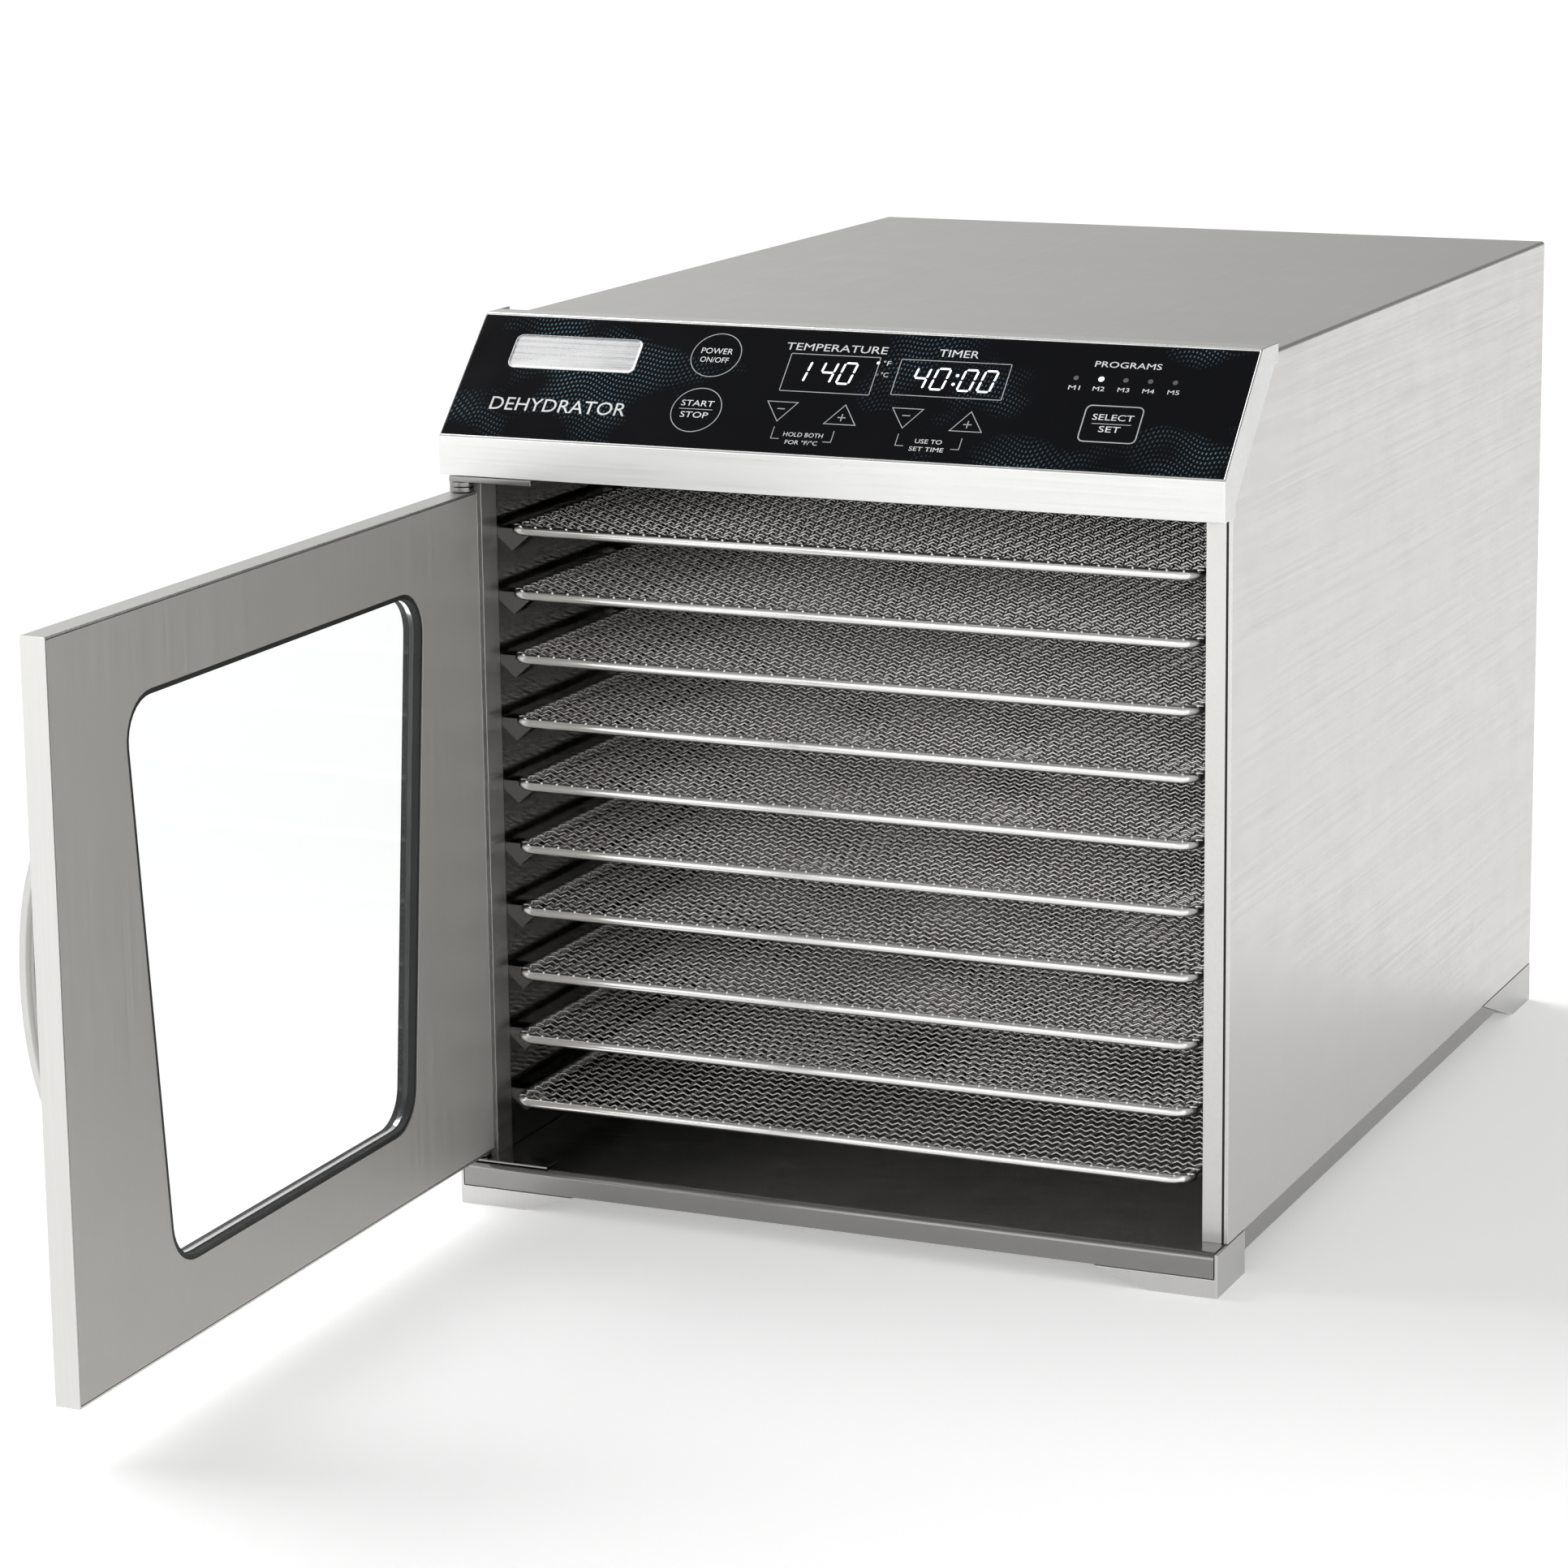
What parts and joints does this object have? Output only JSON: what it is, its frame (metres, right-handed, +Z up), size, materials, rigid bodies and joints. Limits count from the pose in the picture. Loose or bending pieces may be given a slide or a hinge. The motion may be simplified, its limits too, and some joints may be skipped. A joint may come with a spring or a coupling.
{
  "type": "food dehydrator",
  "caption": "Bench-top food dehydrator: steel cabinet with sliding wire trays, a glazed side-hinged door, a sloping touch panel above it, and a fan and heater behind a baffle.",
  "frame": {"origin": "middle of the bottom of the whole object's bounding box with the door standing open as modelled, at floor level", "axes": "+X to the right seen from the front, +Y towards the back, +Z up"},
  "size_m": [0.3694, 0.8028, 0.3799],
  "materials": {
    "shell_steel": "satin stainless steel sheet with a fine lengthwise brush",
    "hood_steel": "bright satin stainless steel sheet",
    "foot_steel": "light satin folded steel",
    "polished_steel": "polished stainless steel",
    "liner_steel": "mirror-like stainless cavity liner",
    "door_steel": "satin stainless door sheet",
    "tray_wire": "bright electropolished wire",
    "panel_glass": "black back-printed glass with white legends",
    "door_pane": "clear tempered glass",
    "seal_rubber": "black silicone rubber",
    "circuit_board": "green circuit board",
    "black_plastic": "black moulded plastic and lacquered steel",
    "heater_sheath": "heat-tinted heater sheath"
  },
  "bodies": {
    "cabinet": {"base_pan": "polished_steel", "control_board": "circuit_board", "control_glass": "panel_glass", "control_hood": "hood_steel", "cord_gland": "seal_rubber", "cover_screw_lower_left": "tray_wire", "cover_screw_lower_right": "tray_wire", "cover_screw_upper_left": "tray_wire", "cover_screw_upper_right": "tray_wire", "display_temperature": "black_plastic", "display_timer": "black_plastic", "fan_guard": "tray_wire", "fan_motor": "black_plastic", "foot_front_left": "foot_steel", "foot_front_right": "foot_steel", "foot_rear_left": "foot_steel", "foot_rear_right": "foot_steel", "header_rail": "liner_steel", "heating_element": "heater_sheath", "hinge_pin_bottom": "polished_steel", "hinge_pin_top": "polished_steel", "hinge_plate_bottom": "polished_steel", "hinge_plate_top": "polished_steel", "hinge_washer_bottom": "polished_steel", "hinge_washer_lower": "polished_steel", "hinge_washer_upper": "polished_steel", "liner_left": "liner_steel", "liner_right": "liner_steel", "liner_top": "liner_steel", "motor_bracket": "foot_steel", "outer_shell": "shell_steel", "power_board": "circuit_board", "rear_baffle": "liner_steel", "rear_cover": "shell_steel", "temperature_sensor": "tray_wire", "thermal_cutout": "black_plastic"},
    "door": {"door_outer_shell": "door_steel", "door_inner_panel": "door_steel", "door_glass": "door_pane", "window_gasket": "seal_rubber", "door_handle": "polished_steel", "handle_screw_lower": "tray_wire", "handle_screw_upper": "tray_wire", "door_magnet": "black_plastic"},
    "fan": {"fan_blade": "black_plastic", "fan_shaft": "tray_wire"},
    "tray_1": {"tray_1": "tray_wire"},
    "tray_2": {"tray_2": "tray_wire"},
    "tray_3": {"tray_3": "tray_wire"},
    "tray_4": {"tray_4": "tray_wire"},
    "tray_5": {"tray_5": "tray_wire"},
    "tray_6": {"tray_6": "tray_wire"},
    "tray_7": {"tray_7": "tray_wire"},
    "tray_8": {"tray_8": "tray_wire"},
    "tray_9": {"tray_9": "tray_wire"},
    "tray_10": {"tray_10": "tray_wire"}
  },
  "joints": [
    {"name": "door_hinge", "type": "hinge", "parent": "cabinet", "child": "door", "pos_m": [-0.15335, -0.07115, 0.1656], "axis": [0, 0, -1], "range_deg": [-89.2, 80.8]},
    {"name": "fan_spin", "type": "hinge", "parent": "cabinet", "child": "fan", "pos_m": [0.01225, 0.33809, 0.1615], "axis": [0, 1, 0], "continuous": true},
    {"name": "tray_slide_1", "type": "slide", "parent": "cabinet", "child": "tray_1", "axis": [0, -1, 0], "range_m": [0, 0.396]},
    {"name": "tray_slide_2", "type": "slide", "parent": "cabinet", "child": "tray_2", "axis": [0, -1, 0], "range_m": [0, 0.396]},
    {"name": "tray_slide_3", "type": "slide", "parent": "cabinet", "child": "tray_3", "axis": [0, -1, 0], "range_m": [0, 0.396]},
    {"name": "tray_slide_4", "type": "slide", "parent": "cabinet", "child": "tray_4", "axis": [0, -1, 0], "range_m": [0, 0.396]},
    {"name": "tray_slide_5", "type": "slide", "parent": "cabinet", "child": "tray_5", "axis": [0, -1, 0], "range_m": [0, 0.396]},
    {"name": "tray_slide_6", "type": "slide", "parent": "cabinet", "child": "tray_6", "axis": [0, -1, 0], "range_m": [0, 0.396]},
    {"name": "tray_slide_7", "type": "slide", "parent": "cabinet", "child": "tray_7", "axis": [0, -1, 0], "range_m": [0, 0.396]},
    {"name": "tray_slide_8", "type": "slide", "parent": "cabinet", "child": "tray_8", "axis": [0, -1, 0], "range_m": [-0.0025, 0.3935]},
    {"name": "tray_slide_9", "type": "slide", "parent": "cabinet", "child": "tray_9", "axis": [0, -1, 0], "range_m": [-0.005, 0.391]},
    {"name": "tray_slide_10", "type": "slide", "parent": "cabinet", "child": "tray_10", "axis": [0, -1, 0], "range_m": [-0.008, 0.388]}
  ]
}
